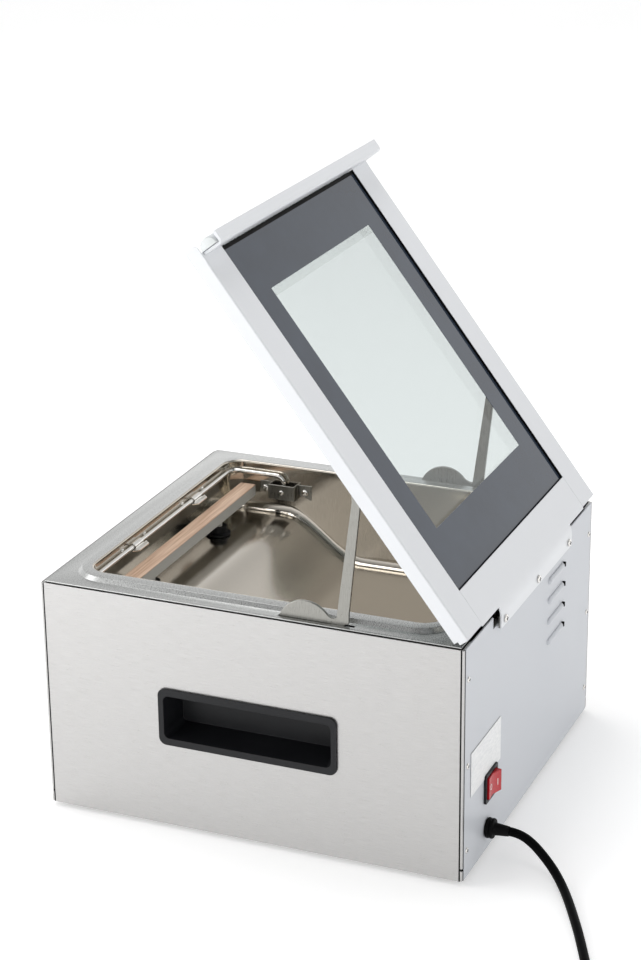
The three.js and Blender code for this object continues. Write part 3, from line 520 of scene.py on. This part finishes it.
def coil_centre():
    """The middle of the coil, in mm."""
    low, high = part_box("cord_coil")
    return (low + high) / 2 / MM


def coil_path():
    """The turns, clockwise from above, each easing into the next near its end."""
    centre = coil_centre()
    path = []
    turn = 0.0
    for i, (r, rise, turns) in enumerate(COIL_TURNS):
        following = COIL_TURNS[i + 1] if i + 1 < len(COIL_TURNS) else (r, rise, 0)
        count = round(TURN_STEPS * turns)
        for k in range(count):
            part = k / count
            late = max(0, (part - EASE_FROM) / (1 - EASE_FROM))
            ease = 0.5 - 0.5 * math.cos(math.pi * late)
            radius = r + (following[0] - r) * ease
            angle = 2 * math.pi * (turn + turns * part)
            place = centre + radius * (-SIDEWAYS * math.cos(angle) + HEADING * math.sin(angle))
            path.append(Vector((place.x, place.y, LOW_TURN + rise + (following[1] - rise) * ease)))
        turn += turns
    return path


def tail_path():
    """From the coil's last turn to the plug."""
    start = coil_centre() + HEADING * LAST_RADIUS
    return [Vector((*(start + SIDEWAYS * d).xy, z)) for d, z in TAIL]


def gland():
    """The grooved strain relief, tapering onto the lead."""
    low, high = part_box("cable_gland")
    at = ((low.x + high.x) / 2, REAR + GLAND_ZERO * MM, (low.z + high.z) / 2)
    return lathe([(r * MM, d * MM) for r, d in GLAND_PROFILE], (0, 1, 0), at, "lead_gland", "case", RUBBER,
                 "cable_gland")


def plug():
    """A round plug with a ribbed sleeve."""
    start = (coil_centre() + HEADING * LAST_RADIUS + SIDEWAYS * PLUG_AT[0]) * MM
    start.z = PLUG_AT[1] * MM
    return lathe([(r * MM, d * MM) for r, d in PLUG_PROFILE], SIDEWAYS, start, "plug_shell", "case", BLACK,
                 "plug_body")


def mains_lead():
    """The lead with its gland, coil, tie and plug."""
    route = smooth_path(CORD_ROUTE, 4) + coil_path() + tail_path()
    piece = wire([p * MM for p in route], CORD_R, "mains_lead", "case", CORD_PVC,
                 ["power_cord", "cord_coil", "cord_tail"])
    ends = [gland(), plug(), bevelled("plug_pins", PLUG_EDGE * MM), bevelled("cord_tie", PLUG_EDGE * MM)]


mains_lead()


# ---- studio ----
SKY = {"horizon": 1.5, "top": 0.1}
FLOOR_HALF = 30
FLOOR_WHITE = (0.9, 0.9, 0.9, 1)
WHITE = (1, 1, 1, 1)
FLOOR_GLOW = {"From Min": 0.25, "From Max": 0.7, "To Min": 0.3, "To Max": 0.42}  # from the machine outwards
AIM = Vector((0.1, 0, 0.1))
SOFTBOXES = {  # name: place, width, watts
    "key": ((0.9, -1.7, 1.0), 1.3, 15),
    "overhead": ((-0.25, -0.6, 2.6), 1.4, 26),
    "low": ((2.0, -1.5, 0.3), 0.8, 8),
}


def white_floor():
    """A matt floor that glows a little, less so near the machine."""
    surface = principled("floor_white", FLOOR_WHITE, 0.6)
    nodes, wires = surface.node_tree.nodes, surface.node_tree.links
    nodes["Principled BSDF"].inputs["Emission Color"].default_value = WHITE
    spot = nodes.new("ShaderNodeTexCoord")
    reach = nodes.new("ShaderNodeVectorMath")
    reach.operation = "LENGTH"
    lift = nodes.new("ShaderNodeMapRange")
    for socket, value in FLOOR_GLOW.items():
        lift.inputs[socket].default_value = value
    wires.new(spot.outputs["Object"], reach.inputs[0])
    wires.new(reach.outputs["Value"], lift.inputs["Value"])
    wires.new(lift.outputs["Result"], nodes["Principled BSDF"].inputs["Emission Strength"])
    grain = texture(surface, NOISE, 3, Detail=2)
    spread(surface, grain, 0.55, 0.65)
    floor = bpy.data.meshes.new("floor")
    corners = [(x * FLOOR_HALF, y * FLOOR_HALF, 0) for x, y in ((-1, -1), (1, -1), (1, 1), (-1, 1))]
    floor.from_pydata(corners, [], [(0, 1, 2, 3)])
    link("floor", floor, material=surface)


def pale_sky():
    """Light from all round, bright at the horizon and dim overhead."""
    world = bpy.data.worlds.new("studio")
    world.use_nodes = True
    tree = world.node_tree
    place = tree.nodes.new("ShaderNodeTexCoord")
    split = tree.nodes.new("ShaderNodeSeparateXYZ")
    fade = tree.nodes.new("ShaderNodeMapRange")
    fade.inputs["To Min"].default_value = SKY["horizon"]
    fade.inputs["To Max"].default_value = SKY["top"]
    tree.links.new(place.outputs["Generated"], split.inputs["Vector"])
    tree.links.new(split.outputs["Z"], fade.inputs["Value"])
    tree.links.new(fade.outputs["Result"], tree.nodes["Background"].inputs["Strength"])
    tree.nodes["Background"].inputs["Color"].default_value = WHITE
    bpy.context.scene.world = world


def studio():
    white_floor()
    pale_sky()
    bpy.context.scene.view_settings.view_transform = "Standard"
    for name, (at, width, watts) in SOFTBOXES.items():
        data = bpy.data.lights.new(name, "AREA")
        data.size = width
        data.energy = watts
        lamp = bpy.data.objects.new(name, data)
        lamp.location = at
        lamp.rotation_euler = (AIM - Vector(at)).to_track_quat("-Z", "Y").to_euler()
        bpy.context.scene.collection.objects.link(lamp)


studio()

# ---- sheet metal and mouldings: the CAD shapes with their edges rounded ----
EDGE_WIDTHS = [  # node, mm
    ("left_side_panel", 0.35), ("right_side_panel", 0.35), ("rear_panel", 0.35), ("front_panel", 0.35),
    ("left_carry_handle", 0.9), ("right_carry_handle", 0.9), ("control_panel", 0.8), ("switch_bezel", 0.6),
    ("lid_left_side", 0.8), ("lid_right_side", 0.8), ("lid_rear_plate", 0.5), ("lid_front_lip", 0.6),
    ("seal_bar", 0.5), ("left_stay_arm", 0.4), ("right_stay_arm", 0.4),
    ("left_bail_bracket", 0.4), ("right_bail_bracket", 0.4), ("left_bag_clip", 0.25), ("right_bag_clip", 0.25),
    ("left_front_foot", 0.8), ("right_front_foot", 0.8), ("left_rear_foot", 0.8), ("right_rear_foot", 0.8),
    ("lid_gasket", 0.5), ("counter_bar", 1.5), ("hinge_bracket", 0.3), ("hinge_leaf", 0.3),
    ("push_button_1", 0.5), ("push_button_2", 0.5), ("push_button_3", 0.5), ("power_rocker", 0.6),
    ("lid_screw_1", 0.3), ("lid_screw_2", 0.3), ("lid_screw_3", 0.3), ("seal_bar_lift", 0.4),
]
for node, width in EDGE_WIDTHS:
    bevelled(node, width * MM)


def box_piece(name, low, high, body, material, bevel=0.0, place=None, node=None):
    """A block between two corners in mm, rounded, and placed by an optional function."""
    outline = [(low[0], low[1]), (high[0], low[1]), (high[0], high[1]), (low[0], high[1])]
    put = place or (lambda x, y, z: Vector((x, y, z)) * MM)
    return prism(outline, lambda p, end: put(p[0], p[1], (low[2], high[2])[end]), name, body, material,
                 node, bevel * MM)


def on_lid(x, s, n):
    """A point of the lid, given in mm."""
    return lid_point(x * MM, s * MM, n * MM)


# ---- lid: print border and window in one pane, a black liner round its recess, grip nose ----
PANE = {"x": 166, "rear": 10, "front": 377.7, "top": -2.3, "bottom": -8, "film": 0.3}
CLEAR = {"x": 109.3, "rear": 84, "front": 327}
OPENING = {"x": 142.2, "rear": 33.7, "front": 377.4}
LINER = 0.5  # the black liner's thickness
LINER_TOP = -0.3
STOP = {"rear": 373.9, "front": 377.3, "thick": 0.6}  # a black strip along the pane's front edge
APART = 0.02  # left between faces that would lie in one plane


def frame_ring(name, outer, inner, top, bottom, material, node=None):
    """A rectangular ring lying in the lid; outer and inner are (half width, rear, front)."""
    bm = bmesh.new()

    def loop(span, n):
        x, rear, front = span
        return [bm.verts.new(on_lid(*p, n)) for p in ((-x, rear), (x, rear), (x, front), (-x, front))]

    loops = [loop(outer, top), loop(inner, top), loop(inner, bottom), loop(outer, bottom)]
    for a, b in zip(loops, loops[1:] + loops[:1]):
        for i in range(4):
            bm.faces.new((a[i], a[i - 1], b[i - 1], b[i]))
    return link(name, finish_mesh(bm, name), "lid", node, material)


def lid_pane():
    """The printed border on a clear slab, with the liner and the stop round it."""
    x, rear, front, top, bottom = PANE["x"], PANE["rear"], PANE["front"], PANE["top"], PANE["bottom"]
    clear = (CLEAR["x"], CLEAR["rear"], CLEAR["front"])
    film = top - PANE["film"]
    frame_ring("glass_border", (x, rear, front), clear, top, film, PRINT, "lid_glass")
    box_piece("glass_slab", (-x, rear, bottom), (x, front, film - APART), "lid", WINDOW,
              place=on_lid, node="lid_glass")
    wide, near, far = OPENING["x"], OPENING["rear"], OPENING["front"]
    frame_ring("glass_liner", (wide, near, far), (wide - LINER, near + LINER, far - LINER), LINER_TOP,
               top + APART, RUBBER)
    box_piece("glass_stop", (-wide + LINER, STOP["rear"], top + APART),
              (wide - LINER, STOP["front"], top + STOP["thick"]), "lid", RUBBER, place=on_lid)


lid_pane()

NOSE = {"s": 380.9, "n": 8.8, "r": 8.6, "x": 176.6, "cap": 1.4, "edge": 0.3}
NOSE_CAP = {"shift": 0.2, "smaller": 0.5, "sunk": 0.4, "edge": 0.5}
NOSE_STEPS = 28


def grip_nose():
    """A half round along the lid's front edge, with a cap let into each end."""
    s, n, r, x, cap = (NOSE[k] for k in ("s", "n", "r", "x", "cap"))
    outline = arc(s, n, r, -90, 90, NOSE_STEPS)
    prism(outline, lambda p, end: on_lid((-x + cap, x - cap)[end], *p), "grip_nose_bar", "lid", GRIP_GREY,
          "lid_grip_nose", NOSE["edge"] * MM)
    small = arc(s + NOSE_CAP["shift"], n, r - NOSE_CAP["smaller"], -90, 90, NOSE_STEPS)
    for hand, side in HANDS:
        ends = (side * (x - cap - NOSE_CAP["sunk"]), side * x)
        prism(small, lambda p, end: on_lid(ends[end], *p), hand + "_nose_cap", "lid", CAP_GREY,
              "lid_grip_nose", NOSE_CAP["edge"] * MM)


grip_nose()

# ---- chamber: deck from the CAD, and a drawn tub with rounded edges ----
TUB = {"x": 152, "front": -167, "rear": 163, "r": 19, "lip": 1.6, "lean": 2.6, "fillet": 9, "sheet": 1.0}
TUB_RISE = 0.04  # the tub's lip above the ring of the deck
TUB_STEP = 8  # longest stretch of the tub's outline between two points
CORNER_STEPS = 12
FLOOR_STEPS = 40
SHELF_Z = 177
FLOOR_Z = 134
RAMP = (-106, -24)
DECK_CUT = 215  # what the CAD chamber has below this height is left to the tub
DECK_EDGE = 0.7


def floor_height(y):
    """The height of the chamber's floor: a shelf in front, a ramp, and the deeper part."""
    t = min(1, max(0, (y - RAMP[0]) / (RAMP[1] - RAMP[0])))
    return FLOOR_Z + (SHELF_Z - FLOOR_Z) * 0.5 * (1 + math.cos(math.pi * t))


def tub_outline():
    """Points round the tub's opening with the direction that leads inwards, in mm."""
    x, front, rear, r = TUB["x"], TUB["front"], TUB["rear"], TUB["r"]
    points = []
    corners = [(x - r, rear - r), (-x + r, rear - r), (-x + r, front + r), (x - r, front + r)]
    for quarter, (cx, cy) in enumerate(corners):
        for px, py in arc(0, 0, 1, 90 * quarter, 90 * quarter + 90, CORNER_STEPS):
            points.append(((cx + r * px, cy + r * py), (-px, -py)))
    dense = []
    for (a, na), (b, nb) in zip(points, points[1:] + points[:1]):
        gap = math.dist(a, b)
        count = max(1, round(gap / TUB_STEP))
        for i in range(count):
            t = i / count
            dense.append(((a[0] + (b[0] - a[0]) * t, a[1] + (b[1] - a[1]) * t),
                          (na[0] + (nb[0] - na[0]) * t, na[1] + (nb[1] - na[1]) * t)))
    return dense


def tub_profile(floor):
    """From the lip down the wall and round to the floor: (distance inwards, height)."""
    top = RING_TOP / MM + TUB_RISE
    lip, lean, r = TUB["lip"], TUB["lean"], TUB["fillet"]
    over = [math.pi / 2 * i / 6 for i in range(7)]
    down = [(lip * math.sin(t), top - lip + lip * math.cos(t)) for t in over]
    wall = [(lip + lean * t, top - lip + (floor + r - top + lip) * t) for t in (i / 8 for i in range(1, 8))]
    foot = lip + lean
    under = [math.pi / 2 * i / CORNER_STEPS for i in range(CORNER_STEPS + 1)]
    turn = [(foot + r - r * math.cos(t), floor + r - r * math.sin(t)) for t in under]
    return down + wall + turn


def tub():
    """The drawn tub: walls with rounded corners that run into the ramped floor."""
    bm = bmesh.new()
    foot = TUB["lip"] + TUB["lean"] + TUB["fillet"]
    columns = []
    for (x, y), (nx, ny) in tub_outline():
        column = [Vector((x + nx * d, y + ny * d, z)) for d, z in tub_profile(floor_height(y + ny * foot))]
        columns.append(column)
    centre_y = (TUB["front"] + TUB["rear"]) / 2
    for column in columns:
        edge = column[-1]
        for k in range(1, FLOOR_STEPS):
            t = k / FLOOR_STEPS
            x, y = edge.x * (1 - t), edge.y + (centre_y - edge.y) * t
            column.append(Vector((x, y, floor_height(y))))
    rows = [[bm.verts.new(p * MM) for p in column] for column in columns]
    hub = bm.verts.new(Vector((0, centre_y, floor_height(centre_y))) * MM)
    for a, b in zip(rows, rows[1:] + rows[:1]):
        for k in range(len(a) - 1):
            bm.faces.new((a[k], b[k], b[k + 1], a[k + 1]))
        bm.faces.new((a[-1], b[-1], hub))
    bmesh.ops.recalc_face_normals(bm, faces=bm.faces)
    if next(iter(hub.link_faces)).normal.z < 0:
        bmesh.ops.reverse_faces(bm, faces=bm.faces)
    mesh = bpy.data.meshes.new("chamber_tub")
    bm.to_mesh(mesh)
    bm.free()
    mesh.polygons.foreach_set("use_smooth", [True] * len(mesh.polygons))
    piece = link("chamber_tub", mesh, "case", "chamber_basin", CHAMBER_STEEL)
    shell = piece.modifiers.new("sheet", "SOLIDIFY")
    shell.thickness = TUB["sheet"] * MM
    shell.offset = -1


def deck():
    """The chamber's deck and raised ring, as the CAD has them, with rounded edges."""
    source = NODES["chamber_basin"]
    bm = bmesh.new()
    bm.from_mesh(source.data)
    bmesh.ops.remove_doubles(bm, verts=bm.verts, dist=WELD)
    low = [v for v in bm.verts if v.co.z < DECK_CUT * MM]
    bmesh.ops.delete(bm, geom=low, context="VERTS")
    bm = eased(bm, DECK_EDGE * MM, 3, 20)
    link("chamber_deck", finish_mesh(bm, "chamber_deck", 50), source["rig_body"], "chamber_basin", DECK_STEEL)


deck()
tub()

# ---- bag bail: polished wire, with its clips and rivets ----
BAIL = {"x": 145.5, "rear": -106, "front": -162, "z": 215, "end": 200, "bend": 10, "r": 2.2}


def bag_bail():
    """One bent wire with rounded corners, its ends down in the brackets."""
    x, rear, front, z, low = (BAIL[k] for k in ("x", "rear", "front", "z", "end"))
    corners = [(-x, rear, low), (-x, rear, z), (-x, front, z), (x, front, z), (x, rear, z), (x, rear, low)]
    path = rounded_path(corners, BAIL["bend"], 10)
    wire([p * MM for p in path], BAIL["r"] * MM, "bail_wire", "bag_bail", BRIGHT, "bag_bail")


bag_bail()

# ---- rivets, screws and lugs; sizes in mm ----
RIVET = {"x": 148.0, "ys": (-127, -85), "z": 199.5, "r": 3.5, "high": 1.6}
SET_SCREW = {"y": -107, "z": 199.5, "r": 2.5, "high": 1.2}
REAR_SCREW = {"x": 170, "y": 196.5, "zs": (29.8, 109.4, 189.3), "r": 2.7, "high": 1.3, "cross": 1.3}
LID_SCREW = {"xs": (-90, 0, 90), "z": 212, "cross": 1.8}
WALL_LUG = {"xs": (-84, -40, 40, 84), "y": -165.4, "z": 216, "r": 2.4, "high": 1.4}
REARWARDS = (0, 1, 0)
STUD_ROOT = 0.2  # how far a stud goes into what it stands on
DOME_RIM = 0.35  # a domed head's height at its rim, as a share of the whole
CROSS_ARM = 0.24  # half the width of a cross's arm, as a share of its reach
CROSS_DEPTH = (-0.35, 0.05)


def stud(name, at, axis, size, material=BRIGHT):
    """A low domed head on the case; size has its radius r and its height, high."""
    r, high = size["r"], size["high"]
    rounds = [math.pi / 2 * i / 5 for i in range(1, 6)]
    dome = [(r * math.sin(t), high * (DOME_RIM + (1 - DOME_RIM) * math.cos(t))) for t in rounds]
    profile = [(a * MM, b * MM) for a, b in [(0, high), *dome, (r, -STUD_ROOT), (0, -STUD_ROOT)]]
    return lathe(profile, axis, Vector(at) * MM, name, "case", material, sides=24)


def recess_shade_cross(name, at, size, body):
    """A black cross let into a screw head that faces the rear: painted shade in its recess."""
    centre = Vector(at)
    w = size * CROSS_ARM
    star = [(w, w), (w, size), (-w, size), (-w, w), (-size, w), (-size, -w), (-w, -w), (-w, -size), (w, -size),
            (w, -w), (size, -w), (size, w)]
    prism(star, lambda p, end: (centre + Vector((p[1], CROSS_DEPTH[end], p[0]))) * MM, name, body, RUBBER)


for hand, side in HANDS:
    inwards = (-side, 0, 0)
    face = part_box(hand + "_bail_bracket")
    inner = (face[0].x if side > 0 else face[1].x) / MM
    for number, y in enumerate(RIVET["ys"], 1):
        stud(f"{hand}_bracket_rivet_{number}", (side * RIVET["x"], y, RIVET["z"]), inwards, RIVET)
    stud(f"{hand}_bracket_screw", (inner, SET_SCREW["y"], SET_SCREW["z"]), inwards, SET_SCREW)
    for number, z in enumerate(REAR_SCREW["zs"], 1):
        x, y = side * REAR_SCREW["x"], REAR_SCREW["y"]
        stud(f"{hand}_rear_screw_{number}", (x, y, z), REARWARDS, REAR_SCREW)
        # a black cross on each rear screw head: painted shade in its recess
        head = (x, y + REAR_SCREW["high"], z)
        recess_shade_cross(f"{hand}_rear_recess_{number}", head, REAR_SCREW["cross"], "case")
for number, x in enumerate(LID_SCREW["xs"], 1):
    # a black cross on each lid screw head: painted shade in its recess
    head = (x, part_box("lid_screw_1")[1].y / MM, LID_SCREW["z"])
    recess_shade_cross(f"lid_recess_shade_{number}", head, LID_SCREW["cross"], "lid")
for number, x in enumerate(WALL_LUG["xs"], 1):
    stud(f"wall_lug_{number}", (x, WALL_LUG["y"], WALL_LUG["z"]), REARWARDS, WALL_LUG)

# ---- feet of the corner posts, and black strips in the gaps where the posts meet the panels: painted shade ----
POST_FOOT = ((177.4, 193.9), (179.7, 196.2), (4.3, 14))  # two corners in plan, and the heights
GAP_SHADE_HEIGHTS = (4.2, 218.6)
# black strips laid into the gaps between posts and panels: painted shade where the gaps fall dark
GAP_SHADE_STRIPS = {
    "side": ((178.2, 193.12), (179.85, 194.3), GAP_SHADE_HEIGHTS),
    "end": ((176.62, 194.6), (177.7, 196.35), GAP_SHADE_HEIGHTS),
}


def at_corner(name, block, side, end, material, bevel=0.0):
    """A block given for the right rear corner of the case, mirrored to another."""
    a, b, heights = block
    xs, ys = sorted((side * a[0], side * b[0])), sorted((end * a[1], end * b[1]))
    low, high = zip(xs, ys, heights)
    box_piece(name, low, high, "case", material, bevel)


for end_name, end in (("front", -1), ("rear", 1)):
    for hand, side in HANDS:
        at_corner(f"{end_name}_{hand}_post_foot", POST_FOOT, side, end, CASE_STEEL, 0.4)
        for part, block in GAP_SHADE_STRIPS.items():
            # a black strip in each gap: painted shade
            at_corner(f"{end_name}_{hand}_{part}_seam", block, side, end, RUBBER)

# ---- a black block in the open end of each louvre: painted shade inside the opening ----
LOUVRE_ZS = (130, 150, 170.6, 190)
LOUVRE_SHADE_BLOCK = {"low": (-90.6, 196.4, -1.6), "high": (-88.6, 199.2, 3), "edge": 0.4}  # heights from the louvre's own
# black blocks filling the louvres' open ends: painted shade
for number, z in enumerate(LOUVRE_ZS, 1):
    low, high = ((x, y, z + up) for x, y, up in (LOUVRE_SHADE_BLOCK["low"], LOUVRE_SHADE_BLOCK["high"]))
    box_piece(f"louvre_mouth_shade_{number}", low, high, "case", RUBBER, LOUVRE_SHADE_BLOCK["edge"])


# ---- seal tape: a woven band, slightly crowned ----
CROWN = 0.45  # of the tape's thickness


def seal_band():
    low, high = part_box("seal_bar_tape")
    mid, half, thick = (low.y + high.y) / 2, (high.y - low.y) / 2, high.z - low.z
    across = [math.pi / 2 * i / 8 for i in range(-8, 9)]
    section = [(mid + half * math.sin(a), low.z + thick * (1 - CROWN + CROWN * math.cos(a))) for a in across]
    outline = [(low.y, low.z), *section, (high.y, low.z)]
    outline = [p for i, p in enumerate(outline) if i == 0 or math.dist(p, outline[i - 1]) > WELD]
    prism(outline, lambda p, end: Vector(((low.x, high.x)[end], *p)), "seal_band", "seal_bar", SEAL_TAPE,
          "seal_bar_tape")


seal_band()


# ---- power switch marks ----
ROCKER = {"x": 111.5, "y": 195.9, "tilt": math.radians(-9), "valley": 4.1, "rise": 2.5, "half": 11.2}
BAR = [(-6.4, -3), (-5.8, -3), (-5.8, 3), (-6.4, 3)]
BAR_DEPTH = (-0.1, 0.08)
RING = {"u": 6, "wide": 1.9, "high": 2.6, "out": 0.02, "wire": 0.25, "steps": 32}


def rocker_marks():
    """A bar and a ring raised on the two halves of the rocker."""
    low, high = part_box("power_rocker")
    z = (low.z + high.z) / 2 / MM
    c, s = math.cos(ROCKER["tilt"]), math.sin(ROCKER["tilt"])

    def put(u, v, out):
        """u along the rocker from its pivot, v up, out from its hollowed face."""
        depth = ROCKER["valley"] + ROCKER["rise"] * abs(u) / ROCKER["half"] + out
        return Vector((ROCKER["x"] + u * c - depth * s, ROCKER["y"] + u * s + depth * c, z + v)) * MM

    prism(BAR, lambda p, end: put(*p, BAR_DEPTH[end]), "rocker_bar", "power_rocker", MARK)
    turns = [2 * math.pi * i / RING["steps"] for i in range(RING["steps"] + 1)]
    ring = [put(RING["u"] + RING["wide"] * math.cos(a), RING["high"] * math.sin(a), RING["out"]) for a in turns]
    wire(ring, RING["wire"] * MM, "rocker_ring", "power_rocker", MARK)


rocker_marks()

# ---- front: small lamps over the buttons, and the display's lens ----
PANEL_LAMP = {"xs": (-62, -30, 2), "y": -199.7, "z": 170, "r": 1.6, "high": 0.8}
LENS = {"low": (32.3, -199.6, 140.3), "high": (73.7, -197.2, 167.7), "edge": 0.4}
for number, x in enumerate(PANEL_LAMP["xs"], 1):
    at = (x, PANEL_LAMP["y"], PANEL_LAMP["z"])
    stud(f"panel_lamp_{number}", at, (0, -1, 0), PANEL_LAMP, LAMP)
box_piece("display_lens", LENS["low"], LENS["high"], "case", BLACK_GLOSS, LENS["edge"],
          node="display_window")
